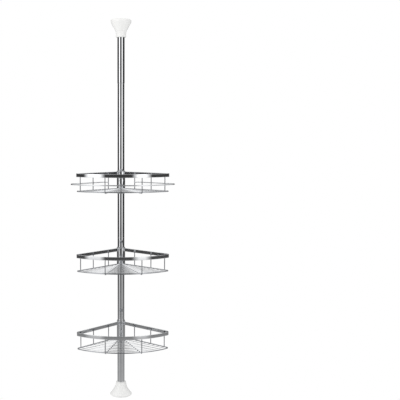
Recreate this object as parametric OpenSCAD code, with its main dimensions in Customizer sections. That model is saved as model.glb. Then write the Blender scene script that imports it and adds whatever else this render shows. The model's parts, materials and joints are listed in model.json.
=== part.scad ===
// Corner shower caddy: a spring tension pole that carries three quarter-round wire baskets.
// Millimetres, +Z up, origin on the pole's axis where the foot pad meets the floor.
// The baskets' rounded fronts face -Y, and their two straight sides lie along the walls.

/* [Pole] */
// Outside diameter of the middle, upper and inner tubes
tube_d = 25; // [22:0.5:28]
// Wall of the middle, upper and inner tubes
tube_wall = 0.9; // [0.6:0.1:1.5]
// Wall of the two wider tubes, at the bottom and at the top
wide_wall = 0.65; // [0.5:0.05:1.2]
// Height of the lower tube's upper end above the floor
lower_len = 286; // [230:1:340]
// Visible length of the middle tube
middle_len = 305; // [250:1:380]
// Visible length of the upper tube
upper_len = 405; // [330:1:490]
// Visible length of the inner tube below the top tube
inner_len = 157; // [120:1:220]
// Length from the top tube's lower end to the ceiling
top_len = 228; // [190:1:280]
// How far the middle tube reaches into the lower tube
tube_overlap = 70; // [50:1:90]
// Radial clearance between pieces that slide or turn on each other
run_clear = 0.05; // [0.02:0.01:0.09]

/* [Spring] */
// Wire diameter of the tension spring
spring_wire = 2.4; // [1.8:0.1:3]
// Travel of the tension spring
spring_travel = 45; // [30:1:50]
// What is left between the coils when the spring is pushed all the way down
spring_spare = 7.8; // [4:0.1:12]
// Working coils of the tension spring
spring_coils = 11; // [8:1:13]

/* [End cups] */
// Diameter of the foot cup
foot_d = 80; // [70:1:96]
// Height of the foot cup
foot_h = 50; // [42:1:60]
// Diameter of the ceiling cup
ceiling_d = 74; // [66:1:90]
// Height of the ceiling cup
ceiling_h = 63; // [54:1:72]
// Wall of the cups' necks, outside the tube
neck_wall = 5.3; // [4.2:0.1:7]
// Length of the foot cup's straight neck
foot_neck = 4; // [2:0.5:8]
// Length of the ceiling cup's straight neck
ceiling_neck = 18; // [12:0.5:24]
// Height of the foot cup's rim band above its pad
foot_band = 1; // [1:0.5:8]
// Height of the ceiling cup's rim band below its pad
ceiling_band = 6; // [1:0.5:8]
// Wall of the cups
cup_wall = 2.6; // [2:0.1:3.5]
// Thickness of the soft pads
pad_t = 4; // [3:0.5:6]
// How far a pad stands out of its cup
pad_proud = 1.2; // [0.5:0.1:2]
// Stiffening ribs inside each cup
rib_count = 12; // [6:1:16]
// Thickness of the stiffening ribs
rib_t = 1.8; // [1.2:0.1:2.5]

/* [Baskets] */
// Radius of the rounded front
basket_r = 234; // [190:1:280]
// Corner radius where the front meets the straight sides
corner_r = 14; // [10:0.5:20]
// Height of the rim band
rim_h = 12; // [8:0.5:16]
// Thickness of the rim band
rim_t = 2.5; // [2:0.1:3.5]
// Depth of the bottom and middle baskets, from the floor wire to the middle of the rim band
basket_depth = 52.6; // [42:0.2:66]
// Depth of the top basket
top_depth = 55.7; // [45:0.1:68]
// Diameter of the wire round the floor
frame_d = 4; // [3.4:0.1:5]
// Diameter of the posts and support wires
post_d = 3.2; // [2.6:0.1:3.4]
// Diameter of the curved floor wires
floor_wire_d = 3; // [2:0.1:3.6]
// Distance between neighbouring floor wires
floor_pitch = 20.5; // [14:0.1:28]
// Distance of the wall post nearest the pole from the pole's axis
rear_post = 69.5; // [50:0.5:90]
// Distance of the middle wall post from the front
middle_post = 86.5; // [65:0.5:100]
// Distance of the last wall post from the front
front_post = 23.5; // [21:0.5:40]
// Angle of each support wire from straight ahead
support_angle = 15.5; // [10:0.5:28]
// How deep a weld sinks one wire into the next
weld = 0.3; // [0.2:0.05:0.5]

/* [Basket heights] */
// Space between the bottom collar and the lower tube's upper end
seam_gap = 4; // [2:1:20]
// Height of the middle basket above the bottom basket
middle_rise = 274; // [220:1:330]
// Height of the top basket above the middle basket
top_rise = 278; // [230:1:340]

/* [Collars and sleeves] */
// Wall of the bottom collar, between the lower tube and the sleeve
collar_wall = 0.9; // [0.8:0.1:1.6]
// Wall of the sleeves
sleeve_wall = 1; // [0.8:0.1:1.2]
// How far a sleeve reaches below the middle of the floor wire
sleeve_drop = 8; // [6:0.5:12]
// How far a sleeve stands above the rim band
sleeve_rise = 1; // [0:0.5:4]
// How far a collar stands out above its sleeve
collar_lip = 2; // [1:0.5:4]
// Height of the tapered grip below each sleeve
grip_h = 11; // [8:0.5:16]
// Thickness of the tapered grip at its lower end
grip_foot = 1.2; // [0.8:0.1:1.6]
// Slit between the two halves of a collar
collar_slit = 0.8; // [0.4:0.1:1.5]
// Gap between a sleeve and the grip that it rests on
seat_gap = 0.1; // [0.05:0.05:0.3]

/* [Outer rail] */
// Diameter of the outer rail
rail_d = 4; // [3.4:0.1:5]
// Distance of the rail outside the basket
rail_out = 18.5; // [16:0.5:32]
// Height of the rail above the floor wire
rail_rise = 24.5; // [14:0.5:32]
// Radius of the bends where the rail turns in to the basket
rail_bend = 9; // [7:0.5:12]

/* [Hidden] */
$fn = 72;

chrome = [0.80, 0.81, 0.82];
zinc = [0.62, 0.64, 0.66];
cup_white = [0.95, 0.95, 0.93];
pad_white = [0.88, 0.88, 0.86];
collar_grey = [0.55, 0.56, 0.57];

// pole
edge_break = 0.3;
tube_r = tube_d / 2;
bore_r = tube_r - tube_wall;
wide_bore_r = tube_r + run_clear;
wide_r = wide_bore_r + wide_wall;
middle_seam = lower_len + middle_len;
upper_seam = middle_seam + upper_len;
top_start = upper_seam + inner_len;
total_h = top_start + top_len;
plug_gap = 0.02; // radial gap of a plug driven into its tube
plug_wall = 1.6;
narrow_plug_r = bore_r - plug_gap;
wide_plug_r = wide_bore_r - plug_gap;
stop_h = 20;
coupler_half = 38;

// end cups
pad_gap = 0.2;
socket_wall = 3;
socket_floor = 3;
socket_end = pad_t + socket_floor; // from the floor or the ceiling to the end of the tube
neck_r = wide_r + neck_wall;
foot_curve = 0.15; // 0 is a deep flare and 0.5 a straight cone
ceiling_curve = 0.48;
flare_steps = 10;

// tension spring
cap_h = 24;
seat_h = 14;
seat_flange = 4;
spring_play = 0.1;
spring_len = (spring_coils + 2) * spring_wire + spring_travel + spring_spare;
spring_top = total_h - socket_end - cap_h;
spring_foot = spring_top - spring_play - spring_len;
inner_top = spring_foot - seat_flange;
spring_r = tube_r - 1 - spring_wire / 2;
ring_steps = 12; // rings in one turn of the spring
ring_sides = 8;

// baskets, measured from the middle of the floor wire
frame_in = rim_t / 2 + post_d / 2 - weld; // the posts touch the rim band from inside
frame_r = basket_r - frame_in;
frame_corner = corner_r - frame_in;
support_drop = frame_d / 2 + post_d / 2 - weld;
wire_drop = support_drop - post_d / 2 - floor_wire_d / 2 + weld;
post_seat = sqrt(pow(frame_d / 2, 2) - pow(post_d / 2, 2)); // a post's flat end fills its weld
wire_seat = sqrt(pow(frame_d / 2, 2) - pow(floor_wire_d / 2, 2));
post_top_in = 1.5; // how far the posts stop below the rim band's upper edge
post_places = [rear_post, basket_r - middle_post, basket_r - front_post];
collar_r = wide_r + run_clear + collar_wall; // one sleeve fits the collars of both tube sizes
sleeve_bore_r = collar_r + run_clear;
sleeve_r = sleeve_bore_r + sleeve_wall;
frame_start = sqrt(pow(sleeve_r, 2) - pow(frame_in + frame_d / 2, 2)) - 0.1;
wire_count = floor((frame_r - sleeve_r - floor_wire_d) / floor_pitch);
seam_turn = 0.005; // angle left open between the front of a loop and each bend
seam_len = 0.6; // length of the weld at each end of a bend
seam_swell = 1.01; // the weld's thickness over the wire's

function sleeve_top(depth) = depth + rim_h / 2 + sleeve_rise;
function collar_top(depth) = sleeve_top(depth) + collar_lip;

bottom_z = lower_len - seam_gap - collar_top(basket_depth);
middle_z = bottom_z + middle_rise;
top_z = middle_z + top_rise;

// each basket's name, floor height, depth, and the radius of the tube it sits on
BASKETS = [
    ["bottom", bottom_z, basket_depth, wide_r],
    ["middle", middle_z, basket_depth, tube_r],
    ["top", top_z, top_depth, tube_r]
];
BASKET_PIECES = [
    "collar_left", "collar_right", "sleeve", "rim_band",
    "floor_frame", "floor_wires", "wall_posts", "support_wires"
];

// ---------- shared shapes ----------

// A tube on the pole's axis with its outer edges broken
module tube(outer_r, inner_r, z0, z1) {
    rotate_extrude()
        polygon([
            [inner_r, z0], [outer_r - edge_break, z0], [outer_r, z0 + edge_break],
            [outer_r, z1 - edge_break], [outer_r - edge_break, z1], [inner_r, z1]
        ]);
}

// A plug open at z0 and closed at z1, where a head may stand out
module plug(r, z0, z1, head_r, head_h) {
    difference() {
        union() {
            translate([0, 0, z0]) cylinder(r = r, h = z1 - z0);
            translate([0, 0, z1]) cylinder(r = head_r, h = head_h);
        }
        translate([0, 0, z0 - 1]) cylinder(r = r - plug_wall, h = z1 - z0 + 1 - plug_wall);
    }
}

// A sleeve inside the butt joint of two tubes
module coupler(seam) {
    difference() {
        translate([0, 0, seam - coupler_half]) cylinder(r = narrow_plug_r, h = 2 * coupler_half);
        translate([0, 0, seam - coupler_half - 1])
            cylinder(r = narrow_plug_r - plug_wall, h = 2 * coupler_half + 2);
    }
}

// A point on a curve that leaves a towards b and ends at c
function bend_point(a, b, c, t) = (1 - t) * (1 - t) * a + 2 * t * (1 - t) * b + t * t * c;

// The flare of a cup, from the rim band to the neck
function flare(rim_r, cup_h, band, neck_len, curve, wall) =
    let (
        low = [rim_r, pad_t + band],
        high = [neck_r, cup_h - neck_len],
        lean = [high[0] + curve * (low[0] - high[0]), low[1] + 0.5 * (high[1] - low[1])],
        inset = [wall, wall * (0.5 - curve)]
    )
    [for (i = [0 : flare_steps])
        bend_point(low - inset, lean - inset, high - inset, i / flare_steps)];

// A flared cup that stands on its rim, with a socket for the end of a wide tube
module cup(rim_r, cup_h, band, neck_len, curve) {
    break_r = 1;
    socket_r = wide_r + socket_wall;
    difference() {
        rotate_extrude()
            polygon(concat(
                [[0, pad_proud], [rim_r - break_r, pad_proud], [rim_r, pad_proud + break_r]],
                flare(rim_r, cup_h, band, neck_len, curve, 0),
                [[neck_r, cup_h - break_r], [neck_r - break_r, cup_h], [0, cup_h]]
            ));
        difference() {
            rotate_extrude()
                polygon(concat(
                    [[0, -1], [rim_r - cup_wall, -1]],
                    flare(rim_r, cup_h, band, neck_len, curve, cup_wall),
                    [[0, cup_h - neck_len - cup_wall * (0.5 - curve)]]
                ));
            translate([0, 0, pad_t]) cylinder(r = socket_r, h = cup_h);
            for (i = [0 : rib_count - 1])
                rotate([0, 0, (i + 0.5) * 360 / rib_count])
                    translate([socket_r - 1, -rib_t / 2, pad_t]) cube([rim_r, rib_t, cup_h]);
        }
        translate([0, 0, socket_end]) cylinder(r = wide_r + plug_gap, h = cup_h);
    }
}

// The soft pad in a cup's mouth
module pad(rim_r) {
    pad_r = rim_r - cup_wall - pad_gap;
    break_r = 1;
    rotate_extrude()
        polygon([[0, 0], [pad_r - break_r, 0], [pad_r, break_r], [pad_r, pad_t], [0, pad_t]]);
}

// Repeats its child on the right wall and, mirrored, on the left one.
// The child's X runs along the wall and its Y points out of the basket.
module on_both_walls() {
    for (side = [0, 1])
        mirror([side, 0, 0]) rotate([0, 0, -45]) children();
}

// Sweeps its 2D child along one wall, round the front and back along the other wall.
// The child's X points out of the basket. The straight sides lie `out` outside the lines
// that run from the pole's axis along the walls. Each bend is welded at both of its ends.
module outline(front_r, out, bend_r, start) {
    run = sqrt(pow(front_r - bend_r, 2) - pow(bend_r - out, 2));
    turn = asin((bend_r - out) / (front_r - bend_r));
    half = 45 - turn - seam_turn;
    rotate_extrude(start = -90 - half, angle = 2 * half) translate([front_r, 0]) children();
    on_both_walls() {
        rotate([0, 0, -turn]) translate([front_r, 0, 0]) rotate([90, 0, 0])
            linear_extrude(height = seam_len, center = true) scale(seam_swell) children();
        translate([run, out - bend_r, 0])
            rotate_extrude(start = 90, angle = -90 - turn) translate([bend_r, 0]) children();
        translate([start, out, 0]) rotate([90, 0, 90])
            linear_extrude(height = run - start) children();
        translate([run, out, 0]) rotate([90, 0, 90])
            linear_extrude(height = seam_len, center = true) scale(seam_swell) children();
    }
}

// ---------- pole ----------

module foot_pad() {
    color(pad_white) pad(foot_d / 2);
}

module foot_cup() {
    color(cup_white) cup(foot_d / 2, foot_h, foot_band, foot_neck, foot_curve);
}

module lower_tube() {
    color(chrome) tube(wide_r, wide_bore_r, socket_end, lower_len);
}

module tube_stop() {
    top = lower_len - tube_overlap;
    color(zinc) plug(wide_plug_r, top - stop_h, top, wide_plug_r, 0.01);
}

module middle_tube() {
    color(chrome) tube(tube_r, bore_r, lower_len - tube_overlap, middle_seam);
}

module lower_coupler() {
    color(zinc) coupler(middle_seam);
}

module upper_tube() {
    color(chrome) tube(tube_r, bore_r, middle_seam, upper_seam);
}

module upper_coupler() {
    color(zinc) coupler(upper_seam);
}

module inner_tube() {
    color(chrome) tube(tube_r, bore_r, upper_seam, inner_top);
}

module spring_seat() {
    color(zinc) plug(narrow_plug_r, inner_top - seat_h, inner_top, tube_r - 0.5, seat_flange);
}

// Height of the spring's wire after some turns, with one closed turn at each end
function coil_height(turns) =
    let (rise = spring_len - 3 * spring_wire)
    turns < 1 ? spring_wire * turns :
    turns > spring_coils + 1 ? spring_wire * (turns - spring_coils) + rise :
    spring_wire + rise * (turns - 1) / spring_coils;

module tension_spring() {
    steps = (spring_coils + 2) * ring_steps;
    wire_r = spring_wire / 2;
    points = [
        for (i = [0 : steps], k = [0 : ring_sides - 1])
            let (
                turns = i / ring_steps,
                r = spring_r + wire_r * cos(k * 360 / ring_sides),
                z = spring_foot + wire_r + coil_height(turns) + wire_r * sin(k * 360 / ring_sides)
            )
            [r * cos(turns * 360), r * sin(turns * 360), z]
    ];
    sides = [
        for (i = [0 : steps - 1], k = [0 : ring_sides - 1])
            let (a = i * ring_sides, b = a + ring_sides, next = (k + 1) % ring_sides)
            [a + k, b + k, b + next, a + next]
    ];
    ends = [
        [for (k = [0 : ring_sides - 1]) k],
        [for (k = [ring_sides - 1 : -1 : 0]) steps * ring_sides + k]
    ];
    color(zinc) polyhedron(points, concat(sides, ends), convexity = 20);
}

// ---------- top section ----------

module spring_cap() {
    color(zinc) difference() {
        translate([0, 0, spring_top]) cylinder(r = wide_plug_r, h = cap_h);
        translate([0, 0, spring_top + plug_wall]) cylinder(r = wide_plug_r - plug_wall, h = cap_h);
    }
}

module top_tube() {
    color(chrome) tube(wide_r, wide_bore_r, top_start, total_h - socket_end);
}

module ceiling_cup() {
    color(cup_white) translate([0, 0, total_h]) mirror([0, 0, 1])
        cup(ceiling_d / 2, ceiling_h, ceiling_band, ceiling_neck, ceiling_curve);
}

module ceiling_pad() {
    color(pad_white) translate([0, 0, total_h]) mirror([0, 0, 1]) pad(ceiling_d / 2);
}

// ---------- one basket, with the middle of its floor wire at Z = 0 ----------

// One half of the wedge collar on a tube of radius on_r, for positive X
module collar_right(depth, on_r) {
    grip_top = -sleeve_drop - seat_gap;
    top = collar_top(depth);
    low = grip_top - grip_h;
    color(collar_grey) difference() {
        union() {
            translate([0, 0, grip_top]) cylinder(r = collar_r, h = top - grip_top);
            translate([0, 0, low])
                cylinder(r1 = on_r + run_clear + grip_foot, r2 = sleeve_r, h = grip_h);
        }
        translate([0, 0, low - 1]) cylinder(r = on_r + run_clear, h = top - low + 2);
        translate([collar_slit / 2 - 2 * sleeve_r, -2 * sleeve_r, low - 1])
            cube([2 * sleeve_r, 4 * sleeve_r, top - low + 2]);
    }
}

module collar_left(depth, on_r) {
    mirror([1, 0, 0]) collar_right(depth, on_r);
}

module sleeve(depth) {
    length = sleeve_drop + sleeve_top(depth);
    color(chrome) translate([0, 0, -sleeve_drop]) difference() {
        cylinder(r = sleeve_r, h = length);
        translate([0, 0, -1]) cylinder(r = sleeve_bore_r, h = length + 2);
    }
}

module rim_band(depth) {
    x = rim_t / 2;
    y = rim_h / 2;
    break_r = 0.5;
    color(chrome) translate([0, 0, depth])
        outline(basket_r, 0, corner_r, sleeve_r - weld)
            polygon([
                [-x, break_r - y], [break_r - x, -y], [x - break_r, -y], [x, break_r - y],
                [x, y - break_r], [x - break_r, y], [break_r - x, y], [-x, y - break_r]
            ]);
}

module floor_frame() {
    color(chrome) outline(frame_r, -frame_in, frame_corner, frame_start) circle(d = frame_d);
}

module floor_wires() {
    color(chrome) for (i = [1 : wire_count]) {
        r = frame_r - i * floor_pitch;
        half = 45 - asin((frame_in + wire_seat) / r);
        translate([0, 0, -wire_drop]) rotate([0, 0, -90 - half])
            rotate_extrude(angle = 2 * half) translate([r, 0]) circle(d = floor_wire_d);
    }
}

module wall_posts(depth) {
    color(chrome) on_both_walls()
        for (place = post_places)
            translate([place, -frame_in, post_seat - weld])
                cylinder(d = post_d, h = depth + rim_h / 2 - post_top_in - post_seat + weld);
}

// The two wires that come down the front, bend under the floor and run back to the sleeve
module support_wires(depth) {
    color(chrome) for (side = [-1, 1])
        rotate([0, 0, -90 + side * support_angle]) {
            translate([sleeve_r - weld, 0, -support_drop]) rotate([0, 90, 0])
                cylinder(d = post_d, h = frame_r - sleeve_r + weld);
            translate([frame_r, 0, 0]) rotate([90, 0, 0]) rotate([0, 0, -90])
                rotate_extrude(angle = 90) translate([support_drop, 0]) circle(d = post_d);
            translate([frame_r + support_drop, 0, 0])
                cylinder(d = post_d, h = depth - rim_h / 2 + weld);
        }
}

module outer_rail() {
    color(chrome) translate([0, 0, rail_rise]) {
        outline(basket_r + rail_out, rail_out, corner_r + rail_out, rear_post + rail_bend)
            circle(d = rail_d);
        on_both_walls() {
            translate([rear_post + rail_bend, rail_out - rail_bend, 0])
                rotate_extrude(start = 90, angle = 90) translate([rail_bend, 0]) circle(d = rail_d);
            translate([rear_post, -frame_in, 0]) rotate([-90, 0, 0])
                cylinder(d = rail_d, h = rail_out - rail_bend + frame_in);
        }
    }
}

// Short wires from the last wall posts and from the support wires to the outer rail
module rail_stubs() {
    color(chrome) translate([0, 0, rail_rise]) {
        on_both_walls()
            translate([basket_r - front_post, -frame_in, 0]) rotate([-90, 0, 0])
                cylinder(d = post_d, h = rail_out + frame_in);
        for (side = [-1, 1])
            rotate([0, 0, -90 + side * support_angle])
                translate([frame_r + support_drop, 0, 0]) rotate([0, 90, 0])
                    cylinder(d = post_d, h = basket_r + rail_out - frame_r - support_drop);
    }
}

// ---------- nodes ----------

foot_pad();
foot_cup();
lower_tube();
tube_stop();
middle_tube();
lower_coupler();
upper_tube();
upper_coupler();
inner_tube();
spring_seat();
tension_spring();
spring_cap();
top_tube();
ceiling_cup();
ceiling_pad();
for (b = BASKETS) translate([0, 0, b[1]]) {
    collar_left(b[2], b[3]);
    collar_right(b[2], b[3]);
    sleeve(b[2]);
    rim_band(b[2]);
    floor_frame();
    floor_wires();
    wall_posts(b[2]);
    support_wires(b[2]);
}
translate([0, 0, top_z]) outer_rail();  // top_outer_rail
translate([0, 0, top_z]) rail_stubs();  // top_rail_stubs
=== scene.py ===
import json
import math

import bpy
from mathutils import Matrix, Vector

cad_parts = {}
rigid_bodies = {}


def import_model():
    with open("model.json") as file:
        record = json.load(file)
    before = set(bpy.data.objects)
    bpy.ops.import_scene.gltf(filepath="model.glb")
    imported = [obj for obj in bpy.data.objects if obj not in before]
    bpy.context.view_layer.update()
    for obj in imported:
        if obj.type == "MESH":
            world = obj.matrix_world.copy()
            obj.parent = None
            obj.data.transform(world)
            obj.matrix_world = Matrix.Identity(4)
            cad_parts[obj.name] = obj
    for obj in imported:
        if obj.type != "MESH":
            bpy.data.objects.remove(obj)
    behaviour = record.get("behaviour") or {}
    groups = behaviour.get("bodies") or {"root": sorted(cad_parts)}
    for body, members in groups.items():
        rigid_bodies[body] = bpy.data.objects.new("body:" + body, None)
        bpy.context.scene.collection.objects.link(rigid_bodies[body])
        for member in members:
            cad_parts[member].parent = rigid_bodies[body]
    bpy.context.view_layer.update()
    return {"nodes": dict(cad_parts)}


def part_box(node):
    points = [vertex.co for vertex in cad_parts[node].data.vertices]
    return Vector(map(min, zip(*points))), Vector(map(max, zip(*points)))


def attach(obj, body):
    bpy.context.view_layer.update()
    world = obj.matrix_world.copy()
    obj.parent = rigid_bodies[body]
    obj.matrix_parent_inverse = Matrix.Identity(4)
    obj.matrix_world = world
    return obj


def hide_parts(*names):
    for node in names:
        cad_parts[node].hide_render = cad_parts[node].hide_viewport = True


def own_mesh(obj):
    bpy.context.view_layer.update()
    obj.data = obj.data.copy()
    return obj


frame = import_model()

mm = 0.001
up = Vector((0, 0, 1))
down = Vector((0, 0, -1))

cameraLook = {
    "away": 2.889,
    "height": 0.958,
    "round": -2.2,  # degrees round the pole from straight ahead
    "tiltDown": 4.53,
    "lens": 71.11,
    "sensor": 36,
    "sideShift": 0.1975,
}


def placeCamera(look):
    bpy.ops.object.select_all(action="DESELECT")
    side = math.radians(look["round"])
    place = (look["away"] * math.sin(side), -look["away"] * math.cos(side), look["height"])
    turn = (math.radians(90 - look["tiltDown"]), 0, side)
    bpy.ops.object.camera_add(location=place, rotation=turn)
    camera = bpy.context.object
    camera.name = "camera"
    camera.data.lens = look["lens"]
    camera.data.sensor_width = look["sensor"]
    camera.data.shift_x = look["sideShift"]
    bpy.context.scene.camera = camera


studio = {
    # tall light panels that polished metal sees: middle, width and soft edge in degrees
    "panels": [
        {"middle": -50, "width": 20, "edge": 10, "tone": 1.7},
        {"middle": 35, "width": 12, "edge": 12, "tone": 1.8},
    ],
    "wallTone": 0.06,  # the dark walls between them
    "behindTone": 0.22,  # the wall behind, lighter again
    "behindStart": 115,
    "dimShare": 0.45,  # what is left of the panels a little below level
    "dimStart": -0.25,
    "dimEnd": 0.035,
    "lowTone": 0.44,  # the even grey that they fade into low down
    "lowStart": -0.36,
    "lowEnd": -0.10,
    "topTone": 1.1,  # the ceiling, with a dark gap in it straight ahead
    "gapTone": 0.2,
    "gapWidth": 60,
    "gapEdge": 10,
    "topStart": 0.30,  # sine of the height where the sides give way to the ceiling
    "topEnd": 0.70,
    "groundShare": 0.80,  # brightness of the ground below, over the ceiling's
    "groundStart": -0.54,
    "groundEnd": -0.36,
    "evenLight": 0.92,  # what falls on everything
    "keyPlace": (-1.9, -2.2, 1.9),
    "keyAim": (0, 0, 0.7),
    "keySize": 1.4,
    "keyPower": 14,
    "floorRadius": 1.5,
    "floorTone": (0.82, 0.82, 0.82, 1),
}


def addNode(tree, kind, place, **settings):
    node = tree.nodes.new(kind)
    node.location = place
    for name, value in settings.items():
        setattr(node, name, value)
    return node


def sideStops(plan):
    stops = [(-180, plan["behindTone"]), (-plan["behindStart"], plan["wallTone"])]
    for panel in plan["panels"]:
        half = panel["width"] / 2
        outer = half + panel["edge"]
        stops += [
            (panel["middle"] - outer, plan["wallTone"]),
            (panel["middle"] - half, panel["tone"]),
            (panel["middle"] + half, panel["tone"]),
            (panel["middle"] + outer, plan["wallTone"]),
        ]
    return stops + [(plan["behindStart"], plan["wallTone"]), (180, plan["behindTone"])]


def topStops(plan):
    half = plan["gapWidth"] / 2
    outer = half + plan["gapEdge"]
    return [
        (-outer, plan["topTone"]), (-half, plan["gapTone"]),
        (half, plan["gapTone"]), (outer, plan["topTone"]),
    ]


def addRamp(tree, place, stops):
    # a brightness for each direction round the room, as a share of the brightest
    ramp = addNode(tree, "ShaderNodeValToRGB", place)
    brightest = max(tone for _, tone in stops)
    while len(ramp.color_ramp.elements) < len(stops):
        ramp.color_ramp.elements.new(0.5)
    for stop, (angle, tone) in zip(ramp.color_ramp.elements, stops):
        stop.position = (angle + 180) / 360
        stop.color = (tone / brightest,) * 3 + (1,)
    return ramp, brightest


def buildRoom(plan):
    world = bpy.data.worlds.new("room")
    bpy.context.scene.world = world
    world.use_nodes = True
    tree = world.node_tree
    tree.nodes.clear()
    link = tree.links.new
    where = addNode(tree, "ShaderNodeTexCoord", (-1200, 0))
    parts = addNode(tree, "ShaderNodeSeparateXYZ", (-1000, 0))
    ahead = addNode(tree, "ShaderNodeMath", (-820, -60), operation="MULTIPLY")
    ahead.inputs[1].default_value = -1
    angle = addNode(tree, "ShaderNodeMath", (-660, 60), operation="ARCTAN2")
    share = addNode(tree, "ShaderNodeMapRange", (-500, 60))
    share.inputs["From Min"].default_value = -math.pi
    share.inputs["From Max"].default_value = math.pi
    sides, brightest = addRamp(tree, (-320, 60), sideStops(plan))
    tops, topBright = addRamp(tree, (-320, -460), topStops(plan))
    low = addNode(tree, "ShaderNodeMapRange", (-500, 320), interpolation_type="SMOOTHSTEP")
    low.inputs["From Min"].default_value = plan["lowEnd"]
    low.inputs["From Max"].default_value = plan["lowStart"]
    dim = addNode(tree, "ShaderNodeMapRange", (-320, 480), interpolation_type="SMOOTHSTEP")
    dim.inputs["From Min"].default_value = plan["dimStart"]
    dim.inputs["From Max"].default_value = plan["dimEnd"]
    dim.inputs["To Min"].default_value = plan["dimShare"] * brightest
    dim.inputs["To Max"].default_value = brightest
    bright = addNode(tree, "ShaderNodeMath", (-40, 60), operation="MULTIPLY")
    haze = addNode(tree, "ShaderNodeMix", (60, 200), data_type="FLOAT")
    haze.inputs["B"].default_value = plan["lowTone"]
    height = addNode(tree, "ShaderNodeMapRange", (-500, -220), interpolation_type="SMOOTHSTEP")
    height.inputs["From Min"].default_value = plan["topStart"]
    height.inputs["From Max"].default_value = plan["topEnd"]
    ceiling = addNode(tree, "ShaderNodeMath", (-40, -300), operation="MULTIPLY")
    ceiling.inputs[1].default_value = topBright
    blend = addNode(tree, "ShaderNodeMix", (140, 0), data_type="FLOAT")
    depth = addNode(tree, "ShaderNodeMapRange", (-40, -520), interpolation_type="SMOOTHSTEP")
    depth.inputs["From Min"].default_value = plan["groundEnd"]
    depth.inputs["From Max"].default_value = plan["groundStart"]
    below = addNode(tree, "ShaderNodeMath", (60, -360), operation="MULTIPLY")
    below.inputs[1].default_value = plan["groundShare"]
    ground = addNode(tree, "ShaderNodeMix", (230, -200), data_type="FLOAT")
    seen = addNode(tree, "ShaderNodeBackground", (320, 60))
    even = addNode(tree, "ShaderNodeBackground", (320, -80))
    even.inputs["Strength"].default_value = plan["evenLight"]
    white = addNode(tree, "ShaderNodeBackground", (320, -220))
    ray = addNode(tree, "ShaderNodeLightPath", (140, 420))
    metal = addNode(tree, "ShaderNodeMixShader", (520, 0))
    lens = addNode(tree, "ShaderNodeMixShader", (700, 0))
    out = addNode(tree, "ShaderNodeOutputWorld", (880, 0))
    link(where.outputs["Generated"], parts.inputs[0])
    link(parts.outputs["Y"], ahead.inputs[0])
    link(parts.outputs["X"], angle.inputs[0])
    link(ahead.outputs[0], angle.inputs[1])
    link(angle.outputs[0], share.inputs["Value"])
    link(share.outputs[0], sides.inputs[0])
    link(sides.outputs[0], bright.inputs[0])
    link(parts.outputs["Z"], low.inputs["Value"])
    link(parts.outputs["Z"], dim.inputs["Value"])
    link(dim.outputs[0], bright.inputs[1])
    link(low.outputs[0], haze.inputs["Factor"])
    link(bright.outputs[0], haze.inputs["A"])
    link(parts.outputs["Z"], height.inputs["Value"])
    link(height.outputs[0], blend.inputs["Factor"])
    link(haze.outputs["Result"], blend.inputs["A"])
    link(share.outputs[0], tops.inputs[0])
    link(tops.outputs[0], ceiling.inputs[0])
    link(ceiling.outputs[0], blend.inputs["B"])
    link(ceiling.outputs[0], below.inputs[0])
    link(below.outputs[0], ground.inputs["B"])
    link(parts.outputs["Z"], depth.inputs["Value"])
    link(depth.outputs[0], ground.inputs["Factor"])
    link(blend.outputs["Result"], ground.inputs["A"])
    link(ground.outputs["Result"], seen.inputs["Strength"])
    link(ray.outputs["Is Glossy Ray"], metal.inputs[0])
    link(even.outputs[0], metal.inputs[1])
    link(seen.outputs[0], metal.inputs[2])
    link(ray.outputs["Is Camera Ray"], lens.inputs[0])
    link(metal.outputs[0], lens.inputs[1])
    link(white.outputs[0], lens.inputs[2])
    link(lens.outputs[0], out.inputs[0])
    white.inputs["Color"].default_value = (1, 1, 1, 1)
    even.inputs["Color"].default_value = (1, 1, 1, 1)
    seen.inputs["Color"].default_value = (1, 1, 1, 1)


def layFloor(plan):
    bpy.ops.object.select_all(action="DESELECT")
    bpy.ops.mesh.primitive_circle_add(vertices=96, radius=plan["floorRadius"], fill_type="NGON")
    floor = bpy.context.object
    floor.name = "floor"
    paint = bpy.data.materials.new("floorPaint")
    paint.use_nodes = True
    tree = paint.node_tree
    tree.nodes.clear()
    link = tree.links.new
    ray = addNode(tree, "ShaderNodeLightPath", (-400, 300))
    matt = addNode(tree, "ShaderNodeBsdfDiffuse", (-400, 0))
    matt.inputs["Color"].default_value = plan["floorTone"]
    pale = addNode(tree, "ShaderNodeEmission", (-400, -120))
    clear = addNode(tree, "ShaderNodeBsdfTransparent", (-400, -240))
    metal = addNode(tree, "ShaderNodeMixShader", (0, 0))
    lens = addNode(tree, "ShaderNodeMixShader", (200, 0))
    out = addNode(tree, "ShaderNodeOutputMaterial", (400, 0))
    link(ray.outputs["Is Glossy Ray"], metal.inputs[0])
    link(matt.outputs[0], metal.inputs[1])
    link(clear.outputs[0], metal.inputs[2])
    link(ray.outputs["Is Camera Ray"], lens.inputs[0])
    link(metal.outputs[0], lens.inputs[1])
    link(pale.outputs[0], lens.inputs[2])
    link(lens.outputs[0], out.inputs["Surface"])
    floor.data.materials.append(paint)


def hangKeyLight(plan):
    bpy.ops.object.select_all(action="DESELECT")
    aim = Vector(plan["keyAim"]) - Vector(plan["keyPlace"])
    bpy.ops.object.light_add(
        type="AREA", location=plan["keyPlace"], rotation=aim.to_track_quat("-Z", "Y").to_euler())
    key = bpy.context.object
    key.name = "keyLight"
    key.data.shape = "SQUARE"
    key.data.size = plan["keySize"]
    key.data.energy = plan["keyPower"]
    key.visible_glossy = False


placeCamera(cameraLook)
buildRoom(studio)
layFloor(studio)
hangKeyLight(studio)
bpy.context.scene.view_settings.view_transform = "Standard"
print("camera, room, floor and key light are in place")


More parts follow.
